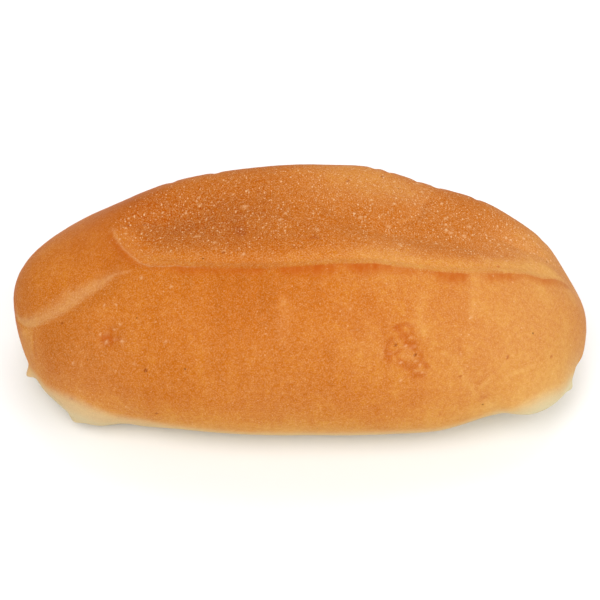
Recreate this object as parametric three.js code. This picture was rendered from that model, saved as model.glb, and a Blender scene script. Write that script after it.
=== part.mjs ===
// A long soft bread roll, slashed once along its length before baking.
// The slash opened in the oven into a wide almond with a valley in it, between a near and a far lip.
//
// Frame: millimetres, +X along the roll, +Y to its back, +Z up, the flat base on z = 0.
// A place on the skin is given by x, its distance from the middle, and by its turn round the
// section in degrees: 0 on the top, 90 on the front side, 180 under the base, -90 on the back.

import * as THREE from "three";
import { mergeVertices } from "three/addons/utils/BufferGeometryUtils.js";

// Driving dimensions of the baked roll.
const LENGTH = 150;
const WIDTH = 76.4;
const HEIGHT = 52;
const HALF_LENGTH = LENGTH / 2;

// The two ends differ: the level of the tip, how full the end is in plan, how much lower its
// crown is, how far forward it bends, and how far its rounded underside would reach below the
// tray, as a share of the belly's level.
const BELLY_LEVEL = 0.465 * HEIGHT;
const LEFT_END = { tipLevel: 0.42 * HEIGHT, fullness: 2.25, droop: 0.19, forward: 1.6, sink: 1.7 };
const RIGHT_END = { tipLevel: 0.28 * HEIGHT, fullness: 2.25, droop: -0.14, forward: 4.2, sink: 1.2 };
const MIDDLE_SINK = 1.23;
const SINK_CHANGE = [0.35, 0.95];
const LEVEL_CURVE = 1.8;
const END_CURVE = 1.5;
const CROWN_FULLNESS = 2.1;
const UNDERSIDE_FULLNESS = 2.2;

// The edge of the flat base, the level above which marks in the skin are full, and the thin
// foot that spread on the tray at the ends.
const BASE_EDGE = 0.9;
const MARKS_FROM_LEVEL = 6;
const FOOT_SPREAD = 1.5;
const FOOT_HEIGHT = 2.6;
const FOOT_ALONG = [0.45, 0.85];
const FOOT_OUTWARD = [0.5, 0.8];

// The opened slash, as an almond laid on the skin. Its openings are degrees of turn from
// SLASH_TURN to each lip, and its left end is blunter than its right. NEAR_SWAY holds places
// [x, degrees of turn] of how far the near lip strays from an even curve.
const SLASH_MIDDLE = 12;
const SLASH_HALF_LENGTH = 60.5;
const SLASH_TURN = -14;
const NEAR_OPENINGS = [35.5, 34];
const NEAR_OPENINGS_AT = [-12, 12];
const FAR_OPENINGS = [31, 41];
const FAR_OPENINGS_AT = [-35, 25];
const BLUNT_END = 3;
const NEAR_POINTED_END = 1.9;
const FAR_POINTED_END = 2.35;
const NEAR_SWAY = [
  [-50, 0], [-47, -4], [-44, -1.5], [-41, 1.5], [-38, 2], [-32, 0], [0, 0], [10, -1], [19, -1.7],
  [34, 1.2], [44, 1.7], [52, 0.6], [57, 0], [62, 1], [66, -3], [69, -6], [71.5, -6], [72.5, 0],
];

// Its lips: a soft rise outside, and a step down inside that is soft at the blunt end. The far
// lip has no step: it comes in over the turns in LIP_STEP_TURNS. The relief of the slash fades
// where the taper of the roll falls through SLASH_FADE.
const LIP_RISE = 0.8;
const LIP_SPREAD = 7;
const LIP_STEP = 0.7;
const LIP_STEP_TURNS = [-14, 6];
const LIP_EDGES = [5, 1.8];
const LIP_EDGES_AT = [-46, -28];
const SLASH_FADE = [0.3, 0.75];

// Its valley, which lies nearer the back in the left half.
const VALLEY_DEPTH = 3.3;
const VALLEY_SHOULDER = 14;
const VALLEY_ROUNDING = 0.12;
const VALLEY_TURNS = [-14, -3];
const VALLEY_TURNS_AT = [6, 20];

// Sets of gentle waves in the skin: how high, how long, and a seed for how they lie.
const SWELL = { height: 0.45, wavelength: 46, seed: 1 };
const RIPPLE = { height: 0.16, wavelength: 15, seed: 3 };
const LIP_WAVE = { height: 0.4, wavelength: 24, seed: 2 };
const VALLEY_WAVE = { height: 0.2, wavelength: 40, seed: 5 };
const FOOT_WAVE = { height: 0.5, wavelength: 11, seed: 7 };

// The fine net of the mesh: stations along the roll, and rows round it from base to base.
const STATIONS = 72;
const ROWS = { underside: 3, front: 25, opening: 22, back: 18 };
const EVEN_STATIONS = 0.4;
const LEAST_OPENING = 0.34;
const BASE_TURN = 150;

const radians = THREE.MathUtils.degToRad;
const { lerp, clamp, smoothstep } = THREE.MathUtils;

// A value that changes smoothly from the first of a pair to the second between two places.
function change(pair, x, places) {
  return lerp(pair[0], pair[1], smoothstep(x, places[0], places[1]));
}

// The height of a set of waves at a point: a few sines that cross, each longer than the last.
function waves(point, { height, wavelength, seed }) {
  const count = 5;
  const goldenTurn = 2.39996;
  let sum = 0;
  for (let k = 0; k < count; k += 1) {
    const turn = seed + k * goldenTurn;
    const lift = 0.8 * Math.sin(seed * 1.7 + k * 2.1);
    const reach =
      (point.x * Math.cos(turn) + point.y * Math.sin(turn)) * Math.cos(lift) +
      point.z * Math.sin(lift);
    sum += Math.sin((2 * Math.PI * reach) / (wavelength * (1 + 0.19 * k)) + seed * (k + 1));
  }
  return (height * sum) / count;
}

const endAt = (x) => (x < 0 ? LEFT_END : RIGHT_END);

// How far a station is from the middle: 0 there, 1 at a tip.
const tipShare = (x) => clamp(Math.abs(x) / HALF_LENGTH, 0, 1);

// How much of the full section is left at a station: 1 in the middle, 0 at the two tips.
function taper(x) {
  const { fullness } = endAt(x);
  return (1 - tipShare(x) ** fullness) ** (1 / fullness);
}

// A level pressed flat on the tray: never below zero, with a small rounded edge.
function onTray(z) {
  if (z >= BASE_EDGE) return z;
  return z <= -BASE_EDGE ? 0 : (z + BASE_EDGE) ** 2 / (4 * BASE_EDGE);
}

// The smooth body of the roll, before the slash and the creases.
function body(x, turn) {
  const end = endAt(x);
  const share = tipShare(x);
  const level = lerp(BELLY_LEVEL, end.tipLevel, share ** LEVEL_CURVE);
  const crown = (HEIGHT - BELLY_LEVEL) * (1 - end.droop * share ** END_CURVE);
  const underside = level * change([MIDDLE_SINK, end.sink], share, SINK_CHANGE);
  const upper = Math.abs(turn) <= 90;
  const fullness = upper ? CROWN_FULLNESS : UNDERSIDE_FULLNESS;
  const sine = Math.sin(radians(turn));
  const cosine = Math.cos(radians(turn));
  const size = (Math.abs(sine) ** fullness + Math.abs(cosine) ** fullness) ** (-1 / fullness);
  const reach = size * taper(x);
  const y = -end.forward * share ** END_CURVE - (WIDTH / 2) * reach * sine;
  const z = onTray(level + (upper ? crown : underside) * reach * cosine);
  return new THREE.Vector3(x, y, z);
}

// Millimetres of skin for each degree of turn at a station.
function skinPerDegree(x) {
  return radians(1) * (WIDTH / 2 + HEIGHT - BELLY_LEVEL) * 0.5 * taper(x);
}

// The share of its full width that the opening has at a station.
function openingShare(x, pointedEnd) {
  const fullness = x < SLASH_MIDDLE ? BLUNT_END : pointedEnd;
  const share = clamp(Math.abs(x - SLASH_MIDDLE) / SLASH_HALF_LENGTH, 0, 1);
  return (1 - share ** fullness) ** (1 / fullness);
}

// How far the near lip strays from its even curve at a station, in degrees of turn.
function nearSway(x) {
  const next = NEAR_SWAY.findIndex(([place]) => place > x);
  if (next < 1) return 0;
  const [start, from] = NEAR_SWAY[next - 1];
  const [end, to] = NEAR_SWAY[next];
  return lerp(from, to, (x - start) / (end - start));
}

// The turn of each lip at a station, where least is the smallest share of the opening given.
function nearLip(x, least = 0) {
  const opening = change(NEAR_OPENINGS, x, NEAR_OPENINGS_AT);
  return SLASH_TURN + opening * Math.hypot(openingShare(x, NEAR_POINTED_END), least) + nearSway(x);
}

function farLip(x, least = 0) {
  const opening = change(FAR_OPENINGS, x, FAR_OPENINGS_AT);
  return SLASH_TURN - opening * Math.hypot(openingShare(x, FAR_POINTED_END), least);
}

// The outline of the opening, unrolled onto the skin as points (x, millimetres of turn).
const slashOutline = [];
const OUTLINE_STEPS = 160;
for (let k = 0; k < 2 * OUTLINE_STEPS; k += 1) {
  const swing = (Math.PI * k) / OUTLINE_STEPS;
  const x = SLASH_MIDDLE - SLASH_HALF_LENGTH * Math.cos(swing);
  const turn = k < OUTLINE_STEPS ? nearLip(x) : farLip(x);
  slashOutline.push(new THREE.Vector2(x, turn));
}

// The distance into the opening from its lip, in millimetres of skin; below zero outside.
function depthIntoSlash(x, turn) {
  const scale = skinPerDegree(clamp(x, -HALF_LENGTH * 0.97, HALF_LENGTH * 0.97));
  let nearest = Infinity;
  for (const lip of slashOutline) {
    nearest = Math.min(nearest, Math.hypot(lip.x - x, (lip.y - turn) * scale));
  }
  const inside =
    Math.abs(x - SLASH_MIDDLE) < SLASH_HALF_LENGTH && turn < nearLip(x) && turn > farLip(x);
  return inside ? nearest : -nearest;
}

// How far the valley has sunk at a place in the slash: 1 along its bottom, 0 at the lips.
function valleyShare(x, turn, into) {
  const bottom = change(VALLEY_TURNS, x, VALLEY_TURNS_AT);
  const flank = turn > bottom ? nearLip(x) - bottom : bottom - farLip(x);
  const away = clamp(Math.abs(turn - bottom) / Math.max(flank, 1), 0, 1);
  const depth = clamp(1 + VALLEY_ROUNDING / 2 - Math.hypot(away, VALLEY_ROUNDING), 0, 1);
  return depth * smoothstep(into, 0, VALLEY_SHOULDER);
}

// The level of the opened slash and its lips against the body, in millimetres.
function slashRelief(x, turn, point) {
  const into = depthIntoSlash(x, turn);
  const room = smoothstep(taper(x), SLASH_FADE[0], SLASH_FADE[1]);
  const lift = LIP_RISE * room * (0.8 + waves(point, LIP_WAVE));
  const rise = lift * Math.exp(-((into / LIP_SPREAD) ** 2));
  if (into <= 0) return rise;
  const inside = smoothstep(into, 0, change(LIP_EDGES, x, LIP_EDGES_AT));
  const floor = change([rise, -LIP_STEP * room], turn, LIP_STEP_TURNS);
  const depth = VALLEY_DEPTH * room * (1 + waves(point, VALLEY_WAVE));
  return lerp(lift, floor, inside) - depth * valleyShare(x, turn, into);
}

const CREASE_STEPS = 24;

// A crease in the skin, bent between two places (x, turn). Its depth grows from nothing at its
// start to depths[0] in the middle and depths[1] at its end. It reaches widths[0] towards -X
// and widths[1] towards +X.
function makeCrease(places, depths, widths) {
  const scale = skinPerDegree((places[0][0] + places[2][0]) / 2);
  const points = places.map(([x, turn]) => new THREE.Vector2(x, turn * scale));
  const line = new THREE.QuadraticBezierCurve(...points).getPoints(CREASE_STEPS);
  return { scale, line, depths, widths };
}

const endCrease = makeCrease([[-43, 13], [-57, 22], [-72, 52]], [1.2, 0.3], [8, 2.5]);
const sideCrease = makeCrease([[28, 46], [44, 58], [54, 128]], [1.1, 3], [11, 5]);
const lobeFold = makeCrease([[38, -36], [29, -14], [21, 3]], [1.1, 0.2], [2.5, 8]);

function creaseRelief(crease, x, turn) {
  const place = new THREE.Vector2(x, turn * crease.scale);
  let nearest = { distance: Infinity, across: 0, along: 0 };
  for (let k = 0; k < CREASE_STEPS; k += 1) {
    const run = crease.line[k + 1].clone().sub(crease.line[k]);
    const offset = place.clone().sub(crease.line[k]);
    const along = clamp(offset.dot(run) / run.lengthSq(), 0, 1);
    const distance = offset.distanceTo(run.clone().multiplyScalar(along));
    if (distance >= nearest.distance) continue;
    nearest = { distance, across: run.cross(offset), along: (k + along) / CREASE_STEPS };
  }
  const later = lerp(crease.depths[0], crease.depths[1], smoothstep(nearest.along, 0.5, 1));
  const depth = later * smoothstep(nearest.along, 0, 0.3);
  const width = crease.widths[nearest.across > 0 ? 0 : 1];
  return -depth * Math.exp(-((nearest.distance / width) ** 2));
}

// Round swellings of the skin; those with a height below zero are hollows.
const swellings = [
  { at: [-55.5, 129], radius: 15, height: 3 }, // the lobe at the left end
  { at: [59.5, 96], radius: 15, height: 1.75 }, // the lobe at the right end
  { at: [26, 56], radius: 6, height: -0.5 }, // under the blistered patch
  { at: [-48, 48], radius: 3, height: -0.5 }, // the small dimple
  // Along the back of the top, from left to right.
  { at: [-72, -10], radius: 12, height: 1.25 },
  { at: [-62, -50], radius: 9, height: -0.6 },
  { at: [-48, -54], radius: 9, height: -0.6 },
  { at: [-8, -53], radius: 9, height: -0.35 },
  { at: [18, -54], radius: 8, height: 0.9 },
  { at: [35, -53], radius: 8, height: -0.8 },
  { at: [50, -52], radius: 8, height: 0.6 },
  { at: [62, -46], radius: 9, height: 0.6 },
  { at: [70, -30], radius: 8, height: -1.2 },
  { at: [73, 15], radius: 12, height: 1.25 },
  // Low on the front, from left to right.
  { at: [-73, 55], radius: 14, height: -1.5 },
  { at: [-56, 112], radius: 9, height: 0.6 },
  { at: [-45, 112], radius: 9, height: -1.1 },
  { at: [-20, 110], radius: 12, height: 0.35 },
  { at: [37, 112], radius: 9, height: 0.55 },
  { at: [50, 112], radius: 8, height: 0.45 },
  { at: [60, 116], radius: 9, height: 0.4 },
  { at: [68, 108], radius: 10, height: 1.3 },
  { at: [72.5, 72], radius: 12, height: -1.9 },
];

function swellingRelief(swelling, point) {
  const distance = body(...swelling.at).distanceTo(point) / swelling.radius;
  return swelling.height * Math.exp(-(distance ** 2));
}

// How far the skin stands off the smooth body at a place.
function relief(x, turn, point) {
  const marks = [
    waves(point, SWELL),
    waves(point, RIPPLE),
    slashRelief(x, turn, point),
    ...[endCrease, sideCrease, lobeFold].map((crease) => creaseRelief(crease, x, turn)),
    ...swellings.map((swelling) => swellingRelief(swelling, point)),
  ];
  return marks.reduce((sum, mark) => sum + mark, 0);
}

// The outward direction of the smooth body at a place.
function outward(x, turn) {
  const step = 0.4;
  const limit = HALF_LENGTH * 0.995;
  const middle = clamp(x, -limit + step, limit - step);
  const along = body(middle + step, turn).sub(body(middle - step, turn));
  const round = body(middle, turn + step).sub(body(middle, turn - step));
  return round.cross(along).normalize();
}

// How far the foot spreads outwards at a point, most at the ends and close to the tray.
function footSpread(point, plan) {
  const along = smoothstep(Math.abs(plan.x), FOOT_ALONG[0], FOOT_ALONG[1]);
  const rim = smoothstep(plan.length(), FOOT_OUTWARD[0], FOOT_OUTWARD[1]);
  const ragged = 0.7 + waves(point, FOOT_WAVE);
  return FOOT_SPREAD * along * rim * ragged * Math.exp(-((point.z / FOOT_HEIGHT) ** 2));
}

// The finished skin: the body with its marks and its spread foot. At the very tips, where the
// turn means nothing, the outward direction is the roll's own axis.
function skin(x, turn) {
  const point = body(x, turn);
  const tip = smoothstep(tipShare(x), 0.98, 1);
  const direction = outward(x, turn).lerp(new THREE.Vector3(Math.sign(x), 0, 0), tip);
  direction.z *= smoothstep(point.z, 0, MARKS_FROM_LEVEL);
  point.addScaledVector(direction, relief(x, turn, point));
  const plan = new THREE.Vector2(x / HALF_LENGTH, point.y / (WIDTH / 2));
  const spread = footSpread(point, plan);
  plan.normalize();
  point.x += plan.x * spread;
  point.y += plan.y * spread;
  point.z = Math.max(point.z, 0);
  return point;
}

// The turn of each row of the net at a station, so that rows run along both lips.
function rowTurn(share, x) {
  const lips = [nearLip(x, LEAST_OPENING), farLip(x, LEAST_OPENING)];
  const stops = [180, BASE_TURN, ...lips, -BASE_TURN, -180];
  const counts = [ROWS.underside, ROWS.front, ROWS.opening, ROWS.back, ROWS.underside];
  let row = share * counts.reduce((sum, count) => sum + count, 0);
  let band = 0;
  while (band < counts.length - 1 && row > counts[band]) {
    row -= counts[band];
    band += 1;
  }
  return lerp(stops[band], stops[band + 1], clamp(row / counts[band], 0, 1));
}

// The station of each ring of the net, closer together towards the tips.
function stationX(share) {
  return HALF_LENGTH * lerp(-Math.cos(Math.PI * share), 2 * share - 1, EVEN_STATIONS);
}

function rollGeometry() {
  const rows = 2 * ROWS.underside + ROWS.front + ROWS.opening + ROWS.back;
  const geometry = new THREE.SphereGeometry(1, rows, STATIONS);
  const place = geometry.getAttribute("position");
  const uv = geometry.getAttribute("uv");
  for (let k = 0; k < place.count; k += 1) {
    const station = Math.round((1 - uv.getY(k)) * STATIONS);
    const x = stationX(station / STATIONS);
    const isTip = station === 0 || station === STATIONS;
    const share = isTip ? 0 : Math.round(uv.getX(k) * rows) / rows;
    const point = skin(x, rowTurn(share % 1, x));
    place.setXYZ(k, point.x, point.y, point.z);
  }
  geometry.deleteAttribute("normal");
  geometry.deleteAttribute("uv");
  const merged = mergeVertices(geometry, 1e-4);
  merged.computeBoundingBox();
  const middle = merged.boundingBox.getCenter(new THREE.Vector3());
  merged.translate(-middle.x, -middle.y, 0);
  merged.computeVertexNormals();
  return merged;
}

const crust = new THREE.MeshStandardMaterial({
  color: new THREE.Color().setRGB(0.7, 0.22, 0.04),
  roughness: 0.55,
  metalness: 0,
});

const roll = new THREE.Mesh(rollGeometry(), crust);
roll.name = "roll";

const group = new THREE.Group();
group.add(roll);

export default group;
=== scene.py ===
"""A long soft bread roll, slashed once along its length: its finished looks.

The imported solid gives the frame. The roll is made again here as one fine skin of the same form,
with the small marks of baking in it, and dressed with a crust made of nodes. Sizes in the
classes are millimetres; a mesh is turned into metres as it is placed.

A place on the skin is given by x, its distance from the middle of the roll, and by its turn
round the section in degrees: 0 on the top, 90 on the front side, 180 under the base and -90 on
the back.
"""

import logging
import math
from dataclasses import dataclass, field
from enum import Enum

import bmesh
import bpy
import numpy as np
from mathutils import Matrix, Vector, kdtree, noise

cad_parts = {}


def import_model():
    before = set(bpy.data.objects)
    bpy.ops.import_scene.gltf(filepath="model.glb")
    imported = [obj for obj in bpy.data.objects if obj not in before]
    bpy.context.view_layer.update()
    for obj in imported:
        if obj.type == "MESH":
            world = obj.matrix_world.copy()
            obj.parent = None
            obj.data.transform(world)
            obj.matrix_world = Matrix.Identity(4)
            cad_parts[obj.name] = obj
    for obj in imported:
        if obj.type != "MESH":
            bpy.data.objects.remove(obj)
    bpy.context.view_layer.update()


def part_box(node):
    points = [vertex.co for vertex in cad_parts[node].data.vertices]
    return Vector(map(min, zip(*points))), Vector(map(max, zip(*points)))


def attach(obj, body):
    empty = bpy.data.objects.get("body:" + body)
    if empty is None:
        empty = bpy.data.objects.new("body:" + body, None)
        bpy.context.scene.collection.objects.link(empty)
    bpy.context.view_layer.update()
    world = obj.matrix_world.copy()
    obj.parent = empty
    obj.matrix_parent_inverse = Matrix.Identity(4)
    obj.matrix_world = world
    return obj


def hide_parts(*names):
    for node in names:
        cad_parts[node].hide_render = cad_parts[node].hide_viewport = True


log = logging.getLogger("bread_roll")

Numbers = float | np.ndarray

METRE = 0.001
GOLDEN_TURN = 2.39996


def lerp(low: Numbers, high: Numbers, share: Numbers) -> Numbers:
    """Return the value at a share of the way from low to high."""
    return low + (high - low) * share


def smoothstep(value: Numbers, low: float, high: float) -> np.ndarray:
    """Return 0 below low, 1 above high and a smooth change between them."""
    share = np.clip((np.asarray(value, float) - low) / (high - low), 0, 1)
    return share * share * (3 - 2 * share)


def change(pair: tuple, x: Numbers, places: tuple) -> np.ndarray:
    """Return a value that changes from the first of a pair to the second between two places."""
    return lerp(pair[0], pair[1], smoothstep(x, *places))


@dataclass(frozen=True)
class Waves:
    """Gentle waves in the skin: a few sines that cross, each longer than the last."""

    height: float
    wavelength: float
    seed: float
    count: int = 5

    def at(self, points: np.ndarray) -> np.ndarray:
        """Return the height of the waves at each point.

        Args:
            points: places in millimetres, one row of x, y, z each.

        Returns:
            One height in millimetres for each point.
        """
        total = np.zeros(points.shape[:-1])
        for k in range(self.count):
            turn = self.seed + k * GOLDEN_TURN
            lift = 0.8 * math.sin(self.seed * 1.7 + k * 2.1)
            level = points[..., 0] * math.cos(turn) + points[..., 1] * math.sin(turn)
            reach = level * math.cos(lift) + points[..., 2] * math.sin(lift)
            length = self.wavelength * (1 + 0.19 * k)
            total += np.sin(2 * math.pi * reach / length + self.seed * (k + 1))
        return self.height * total / self.count


@dataclass(frozen=True)
class Grain:
    """Fine uneven grain in the skin, without the rhythm that waves have."""

    height: float
    size: float
    octaves: int = 3

    def at(self, points: np.ndarray) -> np.ndarray:
        """Return the height of the grain at each point.

        Args:
            points: places in millimetres, one row of x, y, z each.

        Returns:
            One height in millimetres for each point.
        """
        places = points.reshape(-1, 3) / self.size
        grain = [noise.fractal(Vector(place), 0.8, 2.1, self.octaves) for place in places]
        return self.height * np.array(grain).reshape(points.shape[:-1])


@dataclass(frozen=True)
class RollEnd:
    """What makes one end of the roll: its tip's level, fullness, droop, bend and underside."""

    tip_level: float
    fullness: float
    droop: float
    forward: float
    sink: float


@dataclass(frozen=True)
class RollBody:
    """The smooth body of the roll, before the slash and the creases."""

    length: float = 150
    width: float = 76.4
    height: float = 52
    belly_level: float = 0.465 * 52
    left: RollEnd = RollEnd(0.42 * 52, 2.25, 0.19, 1.6, 1.7)
    right: RollEnd = RollEnd(0.28 * 52, 2.25, -0.14, 4.2, 1.2)
    middle_sink: float = 1.23
    sink_change: tuple = (0.35, 0.95)
    level_curve: float = 1.8
    end_curve: float = 1.5
    crown_fullness: float = 2.1
    underside_fullness: float = 2.2
    base_edge: float = 0.9

    @property
    def half(self) -> float:
        """Return half of the roll's length."""
        return self.length / 2

    def of_end(self, name: str, x: Numbers) -> np.ndarray:
        """Return a named size of the end that each x lies towards."""
        return np.where(np.asarray(x) < 0, getattr(self.left, name), getattr(self.right, name))

    def tip_share(self, x: Numbers) -> Numbers:
        """Return how far each x is from the middle: 0 there, 1 at a tip."""
        return np.clip(np.abs(x) / self.half, 0, 1)

    def taper(self, x: Numbers) -> Numbers:
        """Return how much of the full section is left at each x."""
        fullness = self.of_end("fullness", x)
        return (1 - self.tip_share(x) ** fullness) ** (1 / fullness)

    def on_tray(self, z: np.ndarray) -> np.ndarray:
        """Return levels pressed flat on the tray, with a small rounded edge."""
        pressed = np.maximum(z + self.base_edge, 0) ** 2 / (4 * self.base_edge)
        return np.where(z >= self.base_edge, z, pressed)

    def skin_per_degree(self, x: Numbers) -> Numbers:
        """Return the millimetres of skin for each degree of turn."""
        radius = (self.width / 2 + self.height - self.belly_level) * 0.5
        return math.radians(1) * radius * self.taper(x)

    def places(self, x: np.ndarray, turn: np.ndarray) -> np.ndarray:
        """Return the points of the smooth body.

        Args:
            x: the x of each place.
            turn: its turn.

        Returns:
            One row of x, y, z for each place.
        """
        share = self.tip_share(x)
        level = lerp(self.belly_level, self.of_end("tip_level", x), share**self.level_curve)
        droop = 1 - self.of_end("droop", x) * share**self.end_curve
        crown = (self.height - self.belly_level) * droop
        sink = lerp(self.middle_sink, self.of_end("sink", x), smoothstep(share, *self.sink_change))
        upper = np.abs(turn) <= 90
        fullness = np.where(upper, self.crown_fullness, self.underside_fullness)
        sine, cosine = np.sin(np.radians(turn)), np.cos(np.radians(turn))
        size = (np.abs(sine) ** fullness + np.abs(cosine) ** fullness) ** (-1 / fullness)
        reach = size * self.taper(x)
        forward = self.of_end("forward", x) * share**self.end_curve
        y = -forward - self.width / 2 * reach * sine
        z = self.on_tray(level + np.where(upper, crown, level * sink) * reach * cosine)
        return np.stack([x + 0 * y, y, z], axis=-1)

    def outward(self, x: np.ndarray, turn: np.ndarray) -> np.ndarray:
        """Return the outward direction of the smooth body at each place.

        Args:
            x: the x of each place.
            turn: its turn.

        Returns:
            One unit vector for each place.
        """
        step = 0.4
        limit = self.half * 0.995 - step
        middle = np.clip(x, -limit, limit)
        along = self.places(middle + step, turn) - self.places(middle - step, turn)
        around = self.places(middle, turn + step) - self.places(middle, turn - step)
        direction = np.cross(around, along)
        return direction / np.linalg.norm(direction, axis=-1, keepdims=True)


@dataclass
class Slash:
    """The opened slash: an almond on the skin with two lips and a valley between them."""

    body: RollBody
    middle: float = 12
    half_length: float = 60.5
    turn: float = -14
    near_openings: tuple = (35.5, 34)
    near_openings_at: tuple = (-12, 12)
    far_openings: tuple = (31, 41)
    far_openings_at: tuple = (-35, 25)
    blunt_end: float = 3
    near_pointed_end: float = 1.9
    far_pointed_end: float = 2.35
    sway_x: tuple = (
        -50, -47, -44, -41, -38, -32, 0, 10, 19, 34, 44, 52, 57, 62, 66, 69, 71.5, 72.5,
    )
    sway: tuple = (0, -4, -1.5, 1.5, 2, 0, 0, -1, -1.7, 1.2, 1.7, 0.6, 0, 1, -3, -6, -6, 0)
    lip_rise: float = 0.8
    lip_spread: float = 7
    lip_step: float = 0.4
    lip_step_turns: tuple = (-14, 6)
    lip_edges: tuple = (5, 2.4)
    lip_edges_at: tuple = (-46, -28)
    fade: tuple = (0.3, 0.75)
    valley_depth: float = 3.3
    valley_shoulder: float = 14
    valley_rounding: float = 0.12
    valley_turns: tuple = (-14, -3)
    valley_turns_at: tuple = (6, 20)
    lip_wave: Waves = Waves(0.4, 24, 2)
    valley_wave: Waves = Waves(0.2, 40, 5)
    seam_ridge: float = 0.12
    seam_ridge_width: float = 0.9
    outline_steps: int = 160
    outline: np.ndarray = field(init=False)

    def __post_init__(self) -> None:
        """Lay the outline of the opening on the skin, as rows of x and turn."""
        swing = math.pi * np.arange(2 * self.outline_steps) / self.outline_steps
        x = self.middle - self.half_length * np.cos(swing)
        turn = np.where(swing < math.pi, self.near_lip(x), self.far_lip(x))
        self.outline = np.stack([x, turn], axis=-1)

    def opening_share(self, x: Numbers, pointed_end: float) -> np.ndarray:
        """Return the share of its full width that the opening has.

        Args:
            x: where it is looked for.
            pointed_end: how full the pointed end is.

        Returns:
            The share at each x.
        """
        fullness = np.where(x < self.middle, self.blunt_end, pointed_end)
        share = np.clip(np.abs(x - self.middle) / self.half_length, 0, 1) ** fullness
        return (1 - share) ** (1 / fullness)

    def near_lip(self, x: Numbers, least: float = 0) -> np.ndarray:
        """Return the turn of the near lip.

        Args:
            x: where it is looked for.
            least: the smallest share of its opening.

        Returns:
            The turn at each x.
        """
        share = np.hypot(self.opening_share(x, self.near_pointed_end), least)
        opening = change(self.near_openings, x, self.near_openings_at) * share
        return self.turn + opening + np.interp(x, self.sway_x, self.sway)

    def far_lip(self, x: Numbers, least: float = 0) -> np.ndarray:
        """Return the turn of the far lip, where least is the smallest share of its opening."""
        opening = change(self.far_openings, x, self.far_openings_at)
        return self.turn - opening * np.hypot(self.opening_share(x, self.far_pointed_end), least)

    def depth_into(self, x: np.ndarray, turn: np.ndarray) -> np.ndarray:
        """Return how far each place is inside the lips.

        Args:
            x: the x of each place.
            turn: its turn.

        Returns:
            Millimetres of skin from the nearest lip, below zero outside the opening.
        """
        limit = self.body.half * 0.97
        scale = self.body.skin_per_degree(np.clip(x, -limit, limit))
        nearest = np.full(x.shape, np.inf)
        for lip_x, lip_turn in self.outline:
            nearest = np.minimum(nearest, (lip_x - x) ** 2 + ((lip_turn - turn) * scale) ** 2)
        inside = (np.abs(x - self.middle) < self.half_length) & (turn < self.near_lip(x))
        inside &= turn > self.far_lip(x)
        return np.where(inside, 1, -1) * np.sqrt(nearest)

    def valley_share(self, x: np.ndarray, turn: np.ndarray, into: np.ndarray) -> np.ndarray:
        """Return how far the valley has sunk.

        Args:
            x: the x of each place.
            turn: its turn.
            into: how far it is inside the lips.

        Returns:
            1 along the bottom of the valley, falling to 0 at the lips.
        """
        bottom = change(self.valley_turns, x, self.valley_turns_at)
        flank = np.where(turn > bottom, self.near_lip(x) - bottom, bottom - self.far_lip(x))
        away = np.clip(np.abs(turn - bottom) / np.maximum(flank, 1), 0, 1)
        depth = 1 + self.valley_rounding / 2 - np.hypot(away, self.valley_rounding)
        return np.clip(depth, 0, 1) * smoothstep(into, 0, self.valley_shoulder)

    def relief(
        self,
        points: np.ndarray,
        x: np.ndarray,
        turn: np.ndarray,
        into: np.ndarray,
        valley: np.ndarray,
    ) -> np.ndarray:
        """Return the level of the opened slash and its lips against the body.

        Args:
            points: the places on the smooth body.
            x: the x of each place.
            turn: its turn.
            into: how far it is inside the lips.
            valley: how far the valley has sunk there.

        Returns:
            One height in millimetres for each place.
        """
        room = smoothstep(self.body.taper(x), *self.fade)
        lift = self.lip_rise * room * (0.8 + self.lip_wave.at(points))
        rise = lift * np.exp(-((into / self.lip_spread) ** 2))
        inside = smoothstep(into / change(self.lip_edges, x, self.lip_edges_at), 0, 1)
        near = smoothstep(turn, *self.lip_step_turns)
        depth = self.valley_depth * room * (1 + self.valley_wave.at(points))
        opened = lerp(lift, lerp(rise, -self.lip_step * room, near), inside) - depth * valley
        ridge = self.seam_ridge * near * np.exp(-(((into + 0.7) / self.seam_ridge_width) ** 2))
        return np.where(into <= 0, rise, opened) + room * ridge


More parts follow.
